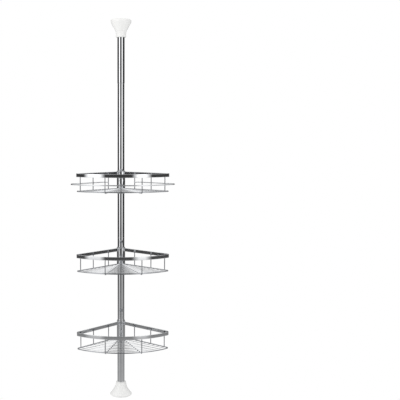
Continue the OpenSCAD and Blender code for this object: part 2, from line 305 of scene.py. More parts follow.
def startGroup(name, inputs, outputs):
    group = bpy.data.node_groups.new(name, "ShaderNodeTree")
    for label, value in inputs:
        socket = group.interface.new_socket(label, in_out="INPUT", socket_type="NodeSocketFloat")
        socket.default_value = value
    for label, kind in outputs:
        group.interface.new_socket(label, in_out="OUTPUT", socket_type=kind)
    return group, group.nodes.new("NodeGroupInput"), group.nodes.new("NodeGroupOutput")


def platedSkin():
    # smudges, water marks and hair-fine polishing lines on chrome plate
    group, given, out = startGroup(
        "platedSkin",
        [("Line Stretch", 20), ("Line Scale", 900), ("Clean", 0.05), ("Smudged", 0.16),
         ("Line Depth", 0.02), ("Ripple Depth", 0.05)],
        [("Tint", "NodeSocketColor"), ("Roughness", "NodeSocketFloat"),
         ("Normal", "NodeSocketVector")])
    link = group.links.new
    where = addNode(group, "ShaderNodeTexCoord", (-1100, 0))
    smudge = addNode(group, "ShaderNodeTexNoise", (-700, 260))
    smudge.inputs["Scale"].default_value = 26
    smudge.inputs["Detail"].default_value = 5
    smudge.inputs["Roughness"].default_value = 0.62
    patches = addNode(group, "ShaderNodeMapRange", (-500, 260), interpolation_type="SMOOTHSTEP")
    patches.inputs["From Min"].default_value = 0.46
    patches.inputs["From Max"].default_value = 0.74
    spots = addNode(group, "ShaderNodeTexVoronoi", (-700, 20), feature="SMOOTH_F1")
    spots.inputs["Scale"].default_value = 210
    marks = addNode(group, "ShaderNodeMapRange", (-500, 20))
    marks.inputs["From Min"].default_value = 0.16
    marks.inputs["From Max"].default_value = 0.11
    wet = addNode(group, "ShaderNodeMath", (-320, 60), operation="MULTIPLY")
    most = addNode(group, "ShaderNodeMath", (-160, 160), operation="MAXIMUM")
    level = addNode(group, "ShaderNodeMix", (20, 160), data_type="FLOAT")
    tint = addNode(group, "ShaderNodeMix", (20, 380), data_type="RGBA")
    tint.inputs["A"].default_value = (1, 1, 1, 1)
    tint.inputs["B"].default_value = (0.90, 0.905, 0.91, 1)
    flat = addNode(group, "ShaderNodeSeparateXYZ", (-900, -240))
    squeeze = addNode(group, "ShaderNodeMath", (-740, -300), operation="DIVIDE")
    stretched = addNode(group, "ShaderNodeCombineXYZ", (-580, -240))
    lines = addNode(group, "ShaderNodeTexNoise", (-400, -240))
    lines.inputs["Detail"].default_value = 3
    ripple = addNode(group, "ShaderNodeTexNoise", (-400, -480))
    ripple.inputs["Scale"].default_value = 140
    ripple.inputs["Detail"].default_value = 1
    fine = addNode(group, "ShaderNodeBump", (-160, -240))
    fine.inputs["Distance"].default_value = 0.0004
    soft = addNode(group, "ShaderNodeBump", (20, -240))
    soft.inputs["Distance"].default_value = 0.001
    link(where.outputs["Object"], smudge.inputs["Vector"])
    link(where.outputs["Object"], spots.inputs["Vector"])
    link(smudge.outputs["Fac"], patches.inputs["Value"])
    link(spots.outputs["Distance"], marks.inputs["Value"])
    link(marks.outputs[0], wet.inputs[0])
    link(smudge.outputs["Fac"], wet.inputs[1])
    link(patches.outputs[0], most.inputs[0])
    link(wet.outputs[0], most.inputs[1])
    link(most.outputs[0], level.inputs["Factor"])
    link(given.outputs["Clean"], level.inputs["A"])
    link(given.outputs["Smudged"], level.inputs["B"])
    link(most.outputs[0], tint.inputs["Factor"])
    link(where.outputs["Object"], flat.inputs[0])
    link(flat.outputs["Z"], squeeze.inputs[0])
    link(given.outputs["Line Stretch"], squeeze.inputs[1])
    link(flat.outputs["X"], stretched.inputs["X"])
    link(flat.outputs["Y"], stretched.inputs["Y"])
    link(squeeze.outputs[0], stretched.inputs["Z"])
    link(stretched.outputs[0], lines.inputs["Vector"])
    link(given.outputs["Line Scale"], lines.inputs["Scale"])
    link(where.outputs["Object"], ripple.inputs["Vector"])
    link(lines.outputs["Fac"], fine.inputs["Height"])
    link(given.outputs["Line Depth"], fine.inputs["Strength"])
    link(ripple.outputs["Fac"], soft.inputs["Height"])
    link(given.outputs["Ripple Depth"], soft.inputs["Strength"])
    link(fine.outputs[0], soft.inputs["Normal"])
    link(tint.outputs["Result"], out.inputs["Tint"])
    link(level.outputs["Result"], out.inputs["Roughness"])
    link(soft.outputs[0], out.inputs["Normal"])
    return group


def mouldedSkin():
    # the fine grain, flow shading and dust of a moulded plastic or rubber
    group, given, out = startGroup(
        "mouldedSkin",
        [("Grain Scale", 1600), ("Grain Depth", 0.1), ("Low Roughness", 0.25),
         ("High Roughness", 0.4), ("Shading", 0.5)],
        [("Shade", "NodeSocketFloat"), ("Roughness", "NodeSocketFloat"),
         ("Normal", "NodeSocketVector")])
    link = group.links.new
    where = addNode(group, "ShaderNodeTexCoord", (-900, 0))
    flow = addNode(group, "ShaderNodeTexNoise", (-700, 200))
    flow.inputs["Scale"].default_value = 34
    flow.inputs["Detail"].default_value = 4
    dust = addNode(group, "ShaderNodeTexNoise", (-700, 0))
    dust.inputs["Scale"].default_value = 420
    dust.inputs["Detail"].default_value = 3
    specks = addNode(group, "ShaderNodeMapRange", (-500, 0))
    specks.inputs["From Min"].default_value = 0.62
    specks.inputs["From Max"].default_value = 0.8
    both = addNode(group, "ShaderNodeMath", (-320, 100), operation="MAXIMUM")
    shade = addNode(group, "ShaderNodeMath", (-140, 200), operation="MULTIPLY")
    level = addNode(group, "ShaderNodeMix", (-140, 40), data_type="FLOAT")
    grain = addNode(group, "ShaderNodeTexNoise", (-500, -240))
    grain.inputs["Detail"].default_value = 2
    bump = addNode(group, "ShaderNodeBump", (-140, -240))
    bump.inputs["Distance"].default_value = 0.0003
    for texture in (flow, dust, grain):
        link(where.outputs["Object"], texture.inputs["Vector"])
    link(dust.outputs["Fac"], specks.inputs["Value"])
    link(flow.outputs["Fac"], both.inputs[0])
    link(specks.outputs[0], both.inputs[1])
    link(both.outputs[0], shade.inputs[0])
    link(given.outputs["Shading"], shade.inputs[1])
    link(flow.outputs["Fac"], level.inputs["Factor"])
    link(given.outputs["Low Roughness"], level.inputs["A"])
    link(given.outputs["High Roughness"], level.inputs["B"])
    link(given.outputs["Grain Scale"], grain.inputs["Scale"])
    link(grain.outputs["Fac"], bump.inputs["Height"])
    link(given.outputs["Grain Depth"], bump.inputs["Strength"])
    link(shade.outputs[0], out.inputs["Shade"])
    link(level.outputs["Result"], out.inputs["Roughness"])
    link(bump.outputs[0], out.inputs["Normal"])
    return group


metalFinishes = {
    "poleChrome": {
        "colour": (0.80, 0.81, 0.825, 1), "lineStretch": 60, "lineScale": 1400,
        "clean": 0.045, "smudged": 0.11, "lineDepth": 0.010, "rippleDepth": 0.012,
    },
    "wireChrome": {
        "colour": (0.78, 0.79, 0.805, 1), "lineStretch": 1, "lineScale": 1800,
        "clean": 0.06, "smudged": 0.15, "lineDepth": 0.020, "rippleDepth": 0.030,
    },
    "postChrome": {
        "colour": (0.46, 0.47, 0.49, 1), "lineStretch": 20, "lineScale": 1800,
        "clean": 0.05, "smudged": 0.14, "lineDepth": 0.015, "rippleDepth": 0.015,
    },
    "bandChrome": {
        "colour": (0.80, 0.81, 0.825, 1), "lineStretch": 0.08, "lineScale": 900,
        "clean": 0.05, "smudged": 0.12, "lineDepth": 0.012, "rippleDepth": 0.020,
    },
    "weldChrome": {
        "colour": (0.70, 0.71, 0.73, 1), "lineStretch": 1, "lineScale": 2600,
        "clean": 0.14, "smudged": 0.30, "lineDepth": 0.120, "rippleDepth": 0.250,
    },
    "springZinc": {
        "colour": (0.56, 0.57, 0.59, 1), "lineStretch": 1, "lineScale": 1500,
        "clean": 0.24, "smudged": 0.42, "lineDepth": 0.060, "rippleDepth": 0.060,
    },
}
mouldedFinishes = {
    "cupPlastic": {
        "pale": (0.93, 0.93, 0.92, 1), "deep": (0.88, 0.88, 0.865, 1), "grainScale": 1500,
        "grainDepth": 0.04, "low": 0.20, "high": 0.32, "shading": 0.5,
    },
    "padRubber": {
        "pale": (0.86, 0.86, 0.84, 1), "deep": (0.72, 0.72, 0.70, 1), "grainScale": 2400,
        "grainDepth": 0.30, "low": 0.55, "high": 0.75, "shading": 0.7,
    },
    "collarNylon": {
        "pale": (0.30, 0.305, 0.315, 1), "deep": (0.20, 0.205, 0.215, 1), "grainScale": 2000,
        "grainDepth": 0.20, "low": 0.38, "high": 0.55, "shading": 0.7,
    },
    "plugNylon": {
        "pale": (0.84, 0.84, 0.82, 1), "deep": (0.70, 0.70, 0.68, 1), "grainScale": 1700,
        "grainDepth": 0.15, "low": 0.35, "high": 0.50, "shading": 0.7,
    },
}


def startMaterial(name, group):
    material = bpy.data.materials.new(name)
    material.use_nodes = True
    tree = material.node_tree
    tree.nodes.clear()
    skin = addNode(tree, "ShaderNodeGroup", (-500, 0), node_tree=group)
    surface = addNode(tree, "ShaderNodeBsdfPrincipled", (0, 0))
    out = addNode(tree, "ShaderNodeOutputMaterial", (300, 0))
    tree.links.new(surface.outputs[0], out.inputs["Surface"])
    tree.links.new(skin.outputs["Roughness"], surface.inputs["Roughness"])
    tree.links.new(skin.outputs["Normal"], surface.inputs["Normal"])
    return material, tree, skin, surface


def metalMaterial(name, finish, group):
    material, tree, skin, surface = startMaterial(name, group)
    skin.inputs["Line Stretch"].default_value = finish["lineStretch"]
    skin.inputs["Line Scale"].default_value = finish["lineScale"]
    skin.inputs["Clean"].default_value = finish["clean"]
    skin.inputs["Smudged"].default_value = finish["smudged"]
    skin.inputs["Line Depth"].default_value = finish["lineDepth"]
    skin.inputs["Ripple Depth"].default_value = finish["rippleDepth"]
    colour = addNode(tree, "ShaderNodeMix", (-250, 200), data_type="RGBA", blend_type="MULTIPLY")
    colour.inputs["Factor"].default_value = 1
    colour.inputs["B"].default_value = finish["colour"]
    tree.links.new(skin.outputs["Tint"], colour.inputs["A"])
    tree.links.new(colour.outputs["Result"], surface.inputs["Base Color"])
    surface.inputs["Metallic"].default_value = 1
    return material


def mouldedMaterial(name, finish, group):
    material, tree, skin, surface = startMaterial(name, group)
    skin.inputs["Grain Scale"].default_value = finish["grainScale"]
    skin.inputs["Grain Depth"].default_value = finish["grainDepth"]
    skin.inputs["Low Roughness"].default_value = finish["low"]
    skin.inputs["High Roughness"].default_value = finish["high"]
    skin.inputs["Shading"].default_value = finish["shading"]
    colour = addNode(tree, "ShaderNodeMix", (-250, 200), data_type="RGBA")
    colour.inputs["A"].default_value = finish["pale"]
    colour.inputs["B"].default_value = finish["deep"]
    tree.links.new(skin.outputs["Shade"], colour.inputs["Factor"])
    tree.links.new(colour.outputs["Result"], surface.inputs["Base Color"])
    surface.inputs["Metallic"].default_value = 0
    return material


plated = platedSkin()
moulded = mouldedSkin()
materials = {name: metalMaterial(name, f, plated) for name, f in metalFinishes.items()}
materials.update({n: mouldedMaterial(n, f, moulded) for n, f in mouldedFinishes.items()})
print("finishes made:", ", ".join(sorted(materials)))

detail = {
    "wireSides": 18,
    "turnSides": 128,
    "wideBendStep": 1.5,  # degrees in one step of a bend wider than wideBend
    "tightBendStep": 6,
    "wideBend": 60 * mm,
    "wireEnd": 0.5 * mm,
    "sameSpot": 0.005 * mm,
}


def startPiece(name):
    bpy.ops.object.select_all(action="DESELECT")
    bpy.ops.mesh.primitive_plane_add(size=mm)
    piece = bpy.context.object
    piece.name = name
    piece.data.name = name
    bpy.ops.object.mode_set(mode="EDIT")
    bpy.ops.mesh.select_all(action="SELECT")
    bpy.ops.mesh.delete(type="VERT")
    return piece


def applyModifier(piece, kind, **settings):
    piece.modifiers.new(kind.lower(), kind)
    modifier = piece.modifiers[-1]
    for name, value in settings.items():
        setattr(modifier, name, value)
    bpy.ops.object.modifier_apply(modifier=modifier.name)


def tidyMesh():
    bpy.ops.mesh.select_all(action="SELECT")
    bpy.ops.mesh.remove_doubles(threshold=detail["sameSpot"])
    bpy.ops.mesh.fill_holes(sides=0)
    bpy.ops.mesh.normals_make_consistent(inside=False)


def finishPiece(piece, mirrored=False, edge=0.0, smooth=35, even=False):
    bpy.ops.object.mode_set(mode="OBJECT")
    if mirrored:
        applyModifier(piece, "MIRROR", use_axis=(True, False, False),
                      merge_threshold=detail["sameSpot"])
    bpy.ops.object.mode_set(mode="EDIT")
    tidyMesh()
    bpy.ops.object.mode_set(mode="OBJECT")
    if edge:
        applyModifier(piece, "BEVEL", width=edge, segments=3, limit_method="ANGLE",
                      angle_limit=math.radians(40), harden_normals=False)
    bpy.ops.object.shade_smooth_by_angle(angle=math.radians(smooth))
    if even:
        applyModifier(piece, "WEIGHTED_NORMAL", weight=100, keep_sharp=True)
    return piece


def addRing(place, heading, diameter):
    turn = heading.to_track_quat("Z", "Y").to_euler()
    bpy.ops.mesh.primitive_circle_add(
        vertices=detail["wireSides"], radius=diameter / 2, location=place, rotation=turn)


def runAlong(place, heading, moves):
    # a run is its length; a bend is its radius, its angle and the axis it turns about
    for move in moves:
        if len(move) == 1:
            step = heading * move[0]
            bpy.ops.mesh.extrude_region_move(TRANSFORM_OT_translate={"value": step})
            place = place + step
            continue
        radius, degrees, axis = move
        centre = place + axis.cross(heading) * radius
        oneStep = detail["wideBendStep"] if radius > detail["wideBend"] else detail["tightBendStep"]
        bpy.ops.mesh.spin(steps=math.ceil(degrees / oneStep), angle=-math.radians(degrees),
                          center=centre, axis=axis)
        turned = Matrix.Rotation(math.radians(degrees), 3, axis)
        place = centre + turned @ (place - centre)
        heading = turned @ heading


def bendWires(name, wires, diameter):
    # each wire is its first point, its first direction and its moves; the other half is mirrored
    piece = startPiece(name)
    for place, heading, moves in wires:
        addRing(place, heading, diameter)
        runAlong(place, heading, moves)
    return finishPiece(piece, mirrored=True, edge=detail["wireEnd"])


def drawLine(points):
    # a line in the plane of X and Z, drawn point by point
    start = points[0]
    bpy.ops.mesh.primitive_plane_add(size=0.01 * mm, location=(start[0], 0, start[1]))
    bpy.ops.mesh.merge(type="CENTER")
    for (r0, z0), (r1, z1) in zip(points, points[1:]):
        bpy.ops.mesh.extrude_region_move(TRANSFORM_OT_translate={"value": (r1 - r0, 0, z1 - z0)})
    bpy.ops.mesh.select_linked()


def turnPart(name, points, sides=None):
    # a turned part: the line goes once round the pole's axis
    piece = startPiece(name)
    drawLine(points)
    bpy.ops.mesh.spin(steps=sides or detail["turnSides"], angle=math.radians(360),
                      center=(0, 0, 0), axis=up)
    return piece


def pickPoints(piece, test):
    bpy.ops.mesh.select_mode(type="VERT")
    bpy.ops.mesh.select_all(action="DESELECT")
    bpy.ops.object.mode_set(mode="OBJECT")
    for point in piece.data.vertices:
        point.select = test(point.co)
    bpy.ops.object.mode_set(mode="EDIT")


def dress(piece, body, slot, finish, *nodes):
    piece.data.materials.clear()
    piece.data.materials.append(materials[finish])
    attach(piece, body)
    if nodes:
        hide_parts(*nodes)
    return piece


poleTube = {
    "wall": 0.9 * mm,
    "wideWall": 0.65 * mm,
    "endRound": 0.5 * mm,
    "lipLength": 2.2 * mm,  # the rolled lip at the open end of a wide tube
    "lipTuck": 0.30 * mm,
    "lipBend": (0.35, 0.4),  # where the lip bends: share of its tuck and of its length
}


def makeTube(name, node, body, openEnd=None):
    low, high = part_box(node)
    outer = high.x
    wall = poleTube["wideWall"] if openEnd else poleTube["wall"]
    bore = outer - wall
    bottom, top = low.z, high.z
    tuck = outer - poleTube["lipTuck"]
    lip = poleTube["lipLength"]
    bendIn, bendDown = poleTube["lipBend"]
    bend = outer - bendIn * poleTube["lipTuck"]
    outside = [(outer, bottom), (outer, top)]
    if openEnd == "top":
        outside = [(outer, bottom), (outer, top - lip), (bend, top - bendDown * lip), (tuck, top)]
    if openEnd == "bottom":
        outside = [(tuck, bottom), (bend, bottom + bendDown * lip), (outer, bottom + lip),
                   (outer, top)]
    points = [(bore, bottom)] + outside + [(bore, top), (bore, bottom)]
    piece = turnPart(name, points)
    finishPiece(piece, edge=min(poleTube["endRound"], 0.4 * wall), smooth=30, even=True)
    return dress(piece, body, "pole_chrome", "poleChrome", node)


def makePole():
    makeTube("lowerTube", "lower_tube", "pole", openEnd="top")
    makeTube("middleTube", "middle_tube", "pole")
    makeTube("upperTube", "upper_tube", "pole")
    makeTube("innerTube", "inner_tube", "pole")
    makeTube("topTube", "top_tube", "top_section", openEnd="bottom")


makePole()
print("pole tubes turned")

endCup = {
    "wall": 2.6 * mm,
    "proud": 1.2 * mm,  # how far the pad stands out of the cup
    "padThick": 4 * mm,
    "neckRadius": 18.5 * mm,
    "bore": 13.22 * mm,
    "socketRadius": 16.2 * mm,
    "socketEnd": 7 * mm,
    "rimRound": 2.2 * mm,
    "rimSteps": 5,
    "rimLedge": (0.4 * mm, 1 * mm),  # the little chamfer inside the rim
    "grooveDeep": 0.7 * mm,  # a groove round the neck, under its rounded top
    "grooveStart": 3.4 * mm,
    "grooveEnd": 2 * mm,
    "grooveSlope": 0.4 * mm,
    "neckRound": 0.8 * mm,
    "innerGap": 0.3 * mm,
    "ribSink": 0.6 * mm,  # how far a rib runs into the walls that it joins
    "flareSteps": 16,
    "flutes": 24,
    "fluteSteps": 6,
    "ribs": 12,
    "ribThick": 1.8 * mm,
}
cupShapes = {
    # fluteShare is the depth of a flute as a share of the radius
    "foot": {"band": 5 * mm, "neckLength": 4 * mm, "curve": 0.15, "fluteShare": 0.010},
    "ceiling": {"band": 10 * mm, "neckLength": 18 * mm, "curve": 0.48, "fluteShare": 0.002},
}


def flareLine(rimRadius, height, shape, wall):
    # the curve from the rim band up to the neck, moved in by the wall
    curve = shape["curve"]
    start = Vector((rimRadius, shape["band"]))
    end = Vector((endCup["neckRadius"], height - shape["neckLength"]))
    lean = Vector((end.x + curve * (start.x - end.x), start.y + 0.5 * (end.y - start.y)))
    inset = Vector((wall, wall * (0.5 - curve)))
    line = []
    for i in range(endCup["flareSteps"] + 1):
        t = i / endCup["flareSteps"]
        point = (1 - t) ** 2 * start + 2 * t * (1 - t) * lean + t ** 2 * end - inset
        line.append((point.x, point.y))
    return line


def makeCup(name, node, body, shape, flip):
    low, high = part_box(node)
    rimRadius = high.x
    height = (high.z - low.z) + endCup["proud"]
    floorZ = high.z + endCup["proud"] if flip else low.z - endCup["proud"]

    def place(line):
        return [(r, floorZ - z if flip else floorZ + z) for r, z in line]

    outer = flareLine(rimRadius, height, shape, 0)
    inner = [p for p in flareLine(rimRadius, height, shape, endCup["wall"])
             if p[0] > endCup["socketRadius"] + endCup["innerGap"]]
    neck = endCup["neckRadius"]
    grooved = neck - endCup["grooveDeep"]
    slope = endCup["grooveSlope"]
    start, end = height - endCup["grooveStart"], height - endCup["grooveEnd"]
    neckRound = endCup["neckRound"]
    rimRound = endCup["rimRound"]
    ledgeIn, ledgeUp = endCup["rimLedge"]
    proud = endCup["proud"]
    quarter = [math.radians(90 * i / endCup["rimSteps"]) for i in range(endCup["rimSteps"] + 1)]
    rim = [(rimRadius - rimRound * (1 - math.sin(a)), proud + rimRound * (1 - math.cos(a)))
           for a in quarter]
    line = [(rimRadius - endCup["wall"] - ledgeIn, proud)] + rim + outer
    line += [(neck, start), (grooved, start + slope), (grooved, end - slope), (neck, end),
             (neck, height - neckRound), (neck - neckRound, height), (endCup["bore"], height),
             (endCup["bore"], endCup["socketEnd"]), (0, endCup["socketEnd"]),
             (0, endCup["padThick"]), (endCup["socketRadius"], endCup["padThick"]),
             (endCup["socketRadius"], inner[-1][1])]
    line += inner[::-1] + [(rimRadius - endCup["wall"], proud + ledgeUp), line[0]]
    columns = endCup["flutes"] * endCup["fluteSteps"]
    piece = turnPart(name, place(line), sides=columns)
    bpy.ops.object.mode_set(mode="OBJECT")
    bpy.ops.object.mode_set(mode="EDIT")
    tidyMesh()
    fluted = {(round(r / mm, 2), round(z / mm, 2)) for r, z in place(outer[2:-1])}
    for phase in range(1, endCup["fluteSteps"]):
        depth = 0.5 - 0.5 * math.cos(2 * math.pi * phase / endCup["fluteSteps"])

        def inFlute(co):
            spot = (round(math.hypot(co.x, co.y) / mm, 2), round(co.z / mm, 2))
            column = round(math.degrees(math.atan2(co.y, co.x)) * columns / 360)
            return column % endCup["fluteSteps"] == phase and spot in fluted

        pickPoints(piece, inFlute)
        share = 1 - depth * shape["fluteShare"]
        bpy.ops.transform.resize(value=(share, share, 1), center_override=(0, 0, 0))
    addRibs(rimRadius, inner, floorZ, flip)
    bpy.ops.object.mode_set(mode="OBJECT")
    bpy.ops.object.shade_smooth_by_angle(angle=math.radians(40))
    return dress(piece, body, "cup", "cupPlastic", node)


def addRibs(rimRadius, inner, floorZ, flip):
    # thin webs from the socket to the flare, hidden behind the pad
    sink = endCup["ribSink"]
    for i in range(endCup["ribs"]):
        turn = (i + 0.5) * 360 / endCup["ribs"]
        bpy.ops.mesh.select_all(action="DESELECT")
        line = [(endCup["socketRadius"] - sink, endCup["padThick"])]
        line += [(r + sink, z + sink) for r, z in inner if z > endCup["padThick"]]
        line += [(endCup["socketRadius"] - sink, inner[-1][1])]
        line.insert(1, (rimRadius - endCup["wall"] + sink, endCup["padThick"]))
        placed = [(r, floorZ - z if flip else floorZ + z) for r, z in line]
        drawLine(placed)
        bpy.ops.mesh.edge_face_add()
        bpy.ops.transform.translate(value=(0, -endCup["ribThick"] / 2, 0))
        bpy.ops.mesh.extrude_region_move(
            TRANSFORM_OT_translate={"value": (0, endCup["ribThick"], 0)})
        bpy.ops.mesh.select_linked()
        bpy.ops.mesh.normals_make_consistent(inside=False)
        bpy.ops.transform.rotate(value=math.radians(turn), orient_axis="Z",
                                 center_override=(0, 0, 0))


padShape = {
    "edge": 1.1 * mm,
    "edgeStep": 15,  # degrees
    "grooves": (0.35, 0.6, 0.82),  # each ring groove's radius as a share of the pad's
    "grooveDeep": 0.6 * mm,
    "grooveHalfTop": 1.2 * mm,
    "grooveHalfFloor": 0.7 * mm,
    "bevel": 0.15 * mm,
}


def makePad(name, node, body, flip):
    low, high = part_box(node)
    radius = high.x
    base, top = (high.z, low.z) if flip else (low.z, high.z)
    grow = -1 if flip else 1
    edge = padShape["edge"]
    deep = padShape["grooveDeep"]
    wide, narrow = padShape["grooveHalfTop"], padShape["grooveHalfFloor"]
    line = [(0, 0)]
    for share in padShape["grooves"]:
        middle = share * radius
        line += [(middle - wide, 0), (middle - narrow, deep), (middle + narrow, deep),
                 (middle + wide, 0)]
    quarter = [math.radians(a) for a in range(0, 91, padShape["edgeStep"])]
    line += [(radius - edge * (1 - math.sin(a)), edge * (1 - math.cos(a))) for a in quarter]
    line += [(radius, abs(top - base)), (0, abs(top - base))]
    piece = turnPart(name, [(r, base + grow * z) for r, z in line])
    finishPiece(piece, edge=padShape["bevel"], smooth=40)
    return dress(piece, body, "pad", "padRubber", node)


makeCup("footCup", "foot_cup", "pole", cupShapes["foot"], flip=False)
makeCup("ceilingCup", "ceiling_cup", "top_section", cupShapes["ceiling"], flip=True)
makePad("footPad", "foot_pad", "pole", flip=False)
makePad("ceilingPad", "ceiling_pad", "top_section", flip=True)
print("end cups and pads made")

springShape = {
    "wire": 2.4 * mm,
    "coils": 11,
    "stepsPerCoil": 36,
    "wireSides": 12,
    "endRound": 0.3 * mm,
    "travel": 45 * mm,
}


def makeSpring():
    low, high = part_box("tension_spring")
    wire = springShape["wire"]
    radius = high.x - wire / 2
    rise = (high.z - low.z) - 3 * wire
    turns = [(1, wire, 0), (springShape["coils"], rise / springShape["coils"], wire),
             (1, wire, wire + rise)]
    coils = []
    for count, pitch, lift in turns:
        bpy.ops.object.select_all(action="DESELECT")
        bpy.ops.mesh.primitive_circle_add(
            vertices=springShape["wireSides"], radius=wire / 2, rotation=(math.radians(90), 0, 0),
            location=(radius, 0, low.z + wire / 2 + lift))
        coil = bpy.context.object
        bpy.ops.object.transform_apply(location=True, rotation=True, scale=True)
        applyModifier(coil, "SCREW", axis="Z", angle=math.radians(360), screw_offset=pitch,
                      iterations=count, steps=springShape["stepsPerCoil"],
                      render_steps=springShape["stepsPerCoil"], use_merge_vertices=False)
        coils.append(coil)
    bpy.ops.object.select_all(action="DESELECT")
    for coil in coils:
        coil.select_set(True)
    bpy.context.view_layer.objects.active = coils[0]
    bpy.ops.object.join()
    spring = bpy.context.object
    spring.name = "tensionSpring"
    spring.data.name = "tensionSpring"
    bpy.ops.object.mode_set(mode="EDIT")
    finishPiece(spring, edge=springShape["endRound"])
    dress(spring, "pole", "spring", "springZinc", "tension_spring")
    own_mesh(spring)


makeSpring()
print("tension spring wound")

for node in ("tube_stop", "lower_coupler", "upper_coupler", "spring_seat", "spring_cap"):
    plug = frame["nodes"][node]
    plug.data.materials.clear()
    plug.data.materials.append(materials["plugNylon"])

basketShape = {
    "cornerRadius": 14 * mm,
    "bandThick": 2.5 * mm,
    "bandRound": 0.9 * mm,
    "postWire": 3.2 * mm,
    "floorWire": 3 * mm,
    "floorPitch": 20.5 * mm,
    "rearPost": 69.5 * mm,
    "middlePostFromFront": 86.5 * mm,
    "frontPostFromFront": 23.5 * mm,
    "supportAngle": 15.5,
    "weld": 0.3 * mm,
    "frameWeld": 0.1 * mm,
}
railShape = {
    "out": 18.5 * mm,
    "rearBend": 9 * mm,
}


def readBasket(name):
    # the basket's own measures, taken from its CAD nodes
    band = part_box(name + "_rim_band")
    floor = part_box(name + "_floor_frame")
    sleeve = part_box(name + "_sleeve")
    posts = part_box(name + "_wall_posts")
    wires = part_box(name + "_floor_wires")
    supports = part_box(name + "_support_wires")
    shape = dict(basketShape)
    shape["name"] = name
    shape["bandZ"] = (band[0].z + band[1].z) / 2
    shape["bandHeight"] = band[1].z - band[0].z
    shape["bandRadius"] = -band[0].y - shape["bandThick"] / 2
    shape["frameWire"] = floor[1].z - floor[0].z
    shape["floorZ"] = (floor[0].z + floor[1].z) / 2
    shape["frameRadius"] = -floor[0].y - shape["frameWire"] / 2
    shape["frameIn"] = shape["bandRadius"] - shape["frameRadius"]
    shape["sleeveRadius"] = sleeve[1].x
    shape["sleeveZ"] = (sleeve[0].z, sleeve[1].z)
    shape["postZ"] = (posts[0].z, posts[1].z)
    shape["wireZ"] = (wires[0].z + wires[1].z) / 2
    shape["supportZ"] = supports[0].z + shape["postWire"] / 2
    shape["supportDrop"] = shape["floorZ"] - shape["supportZ"]
    shape["supportTop"] = supports[1].z
    shape["supportOut"] = shape["frameRadius"] + shape["supportDrop"]
    shape["posts"] = [shape["rearPost"], shape["bandRadius"] - shape["middlePostFromFront"],
                      shape["bandRadius"] - shape["frontPostFromFront"]]
    return shape


def wallPoint(along, out, z):
    # a point by the left wall: how far along it from the pole, and how far outside it
    half = math.sqrt(0.5)
    return Vector((-half * along - half * out, -half * along + half * out, z))


wallOut = Vector((-math.sqrt(0.5), math.sqrt(0.5), 0))


def outlineMoves(frontRadius, out, bend, start):
    # from the middle of the front, round the corner and back along the wall towards the pole
    run = math.sqrt((frontRadius - bend) ** 2 - (bend - out) ** 2)
    turn = math.degrees(math.asin((bend - out) / (frontRadius - bend)))
    return [(frontRadius, 45 - turn, down), (bend, 90 + turn, down), (run - start,)]


def makeBand(b):
    piece = startPiece(b["name"] + "RimBand")
    place = Vector((0, -b["bandRadius"], b["bandZ"]))
    bpy.ops.mesh.primitive_plane_add(size=1, location=place, rotation=(0, math.radians(90), 0))
    bpy.ops.transform.resize(value=(1, b["bandThick"], b["bandHeight"]), center_override=place)
    bpy.ops.mesh.bevel(offset=b["bandRound"], segments=4, affect="VERTICES")
    bpy.ops.mesh.delete(type="ONLY_FACE")
    bpy.ops.mesh.select_all(action="SELECT")
    start = b["sleeveRadius"] - b["weld"]
    runAlong(place, Vector((-1, 0, 0)),
             outlineMoves(b["bandRadius"], 0, b["cornerRadius"], start))
    finishPiece(piece, mirrored=True, smooth=40, even=True)
    return dress(piece, b["name"] + "_basket", "band_chrome", "bandChrome", b["name"] + "_rim_band")


def makeFloorFrame(b):
    corner = b["cornerRadius"] - b["frameIn"]
    reach = b["frameIn"] + b["frameWire"] / 2
    start = math.sqrt(b["sleeveRadius"] ** 2 - reach ** 2) - b["frameWeld"]
    wire = (Vector((0, -b["frameRadius"], b["floorZ"])), Vector((-1, 0, 0)),
            outlineMoves(b["frameRadius"], -b["frameIn"], corner, start))
    piece = bendWires(b["name"] + "FloorFrame", [wire], b["frameWire"])
    return dress(piece, b["name"] + "_basket", "basket_chrome", "postChrome",
                 b["name"] + "_floor_frame")


def floorWirePlan(b):
    # each floor wire's radius and how far it turns from the middle to the wall, in degrees
    seat = math.sqrt((b["frameWire"] / 2) ** 2 - (b["floorWire"] / 2) ** 2)
    room = b["frameRadius"] - b["sleeveRadius"] - b["floorWire"]
    plan = []
    for i in range(1, math.floor(room / b["floorPitch"]) + 1):
        radius = b["frameRadius"] - i * b["floorPitch"]
        plan.append((radius, 45 - math.degrees(math.asin((b["frameIn"] + seat) / radius))))
    return plan


def makeFloorWires(b):
    wires = [(Vector((0, -radius, b["wireZ"])), Vector((-1, 0, 0)), [(radius, turn, down)])
             for radius, turn in floorWirePlan(b)]
    piece = bendWires(b["name"] + "FloorWires", wires, b["floorWire"])
    return dress(piece, b["name"] + "_basket", "basket_chrome", "wireChrome",
                 b["name"] + "_floor_wires")


def makeWallPosts(b):
    low, high = b["postZ"]
    wires = [(wallPoint(along, -b["frameIn"], low), up, [(high - low,)]) for along in b["posts"]]
    piece = bendWires(b["name"] + "WallPosts", wires, b["postWire"])
    return dress(piece, b["name"] + "_basket", "basket_chrome", "postChrome",
                 b["name"] + "_wall_posts")


def supportHeading(b):
    angle = math.radians(b["supportAngle"])
    return Vector((-math.sin(angle), -math.cos(angle), 0))


def makeSupports(b):
    heading = supportHeading(b)
    start = heading * (b["sleeveRadius"] - b["weld"]) + up * b["supportZ"]
    moves = [(b["frameRadius"] - b["sleeveRadius"] + b["weld"],),
             (b["supportDrop"], 90, heading.cross(up)), (b["supportTop"] - b["floorZ"],)]
    piece = bendWires(b["name"] + "SupportWires", [(start, heading, moves)], b["postWire"])
    return dress(piece, b["name"] + "_basket", "basket_chrome", "postChrome",
                 b["name"] + "_support_wires")


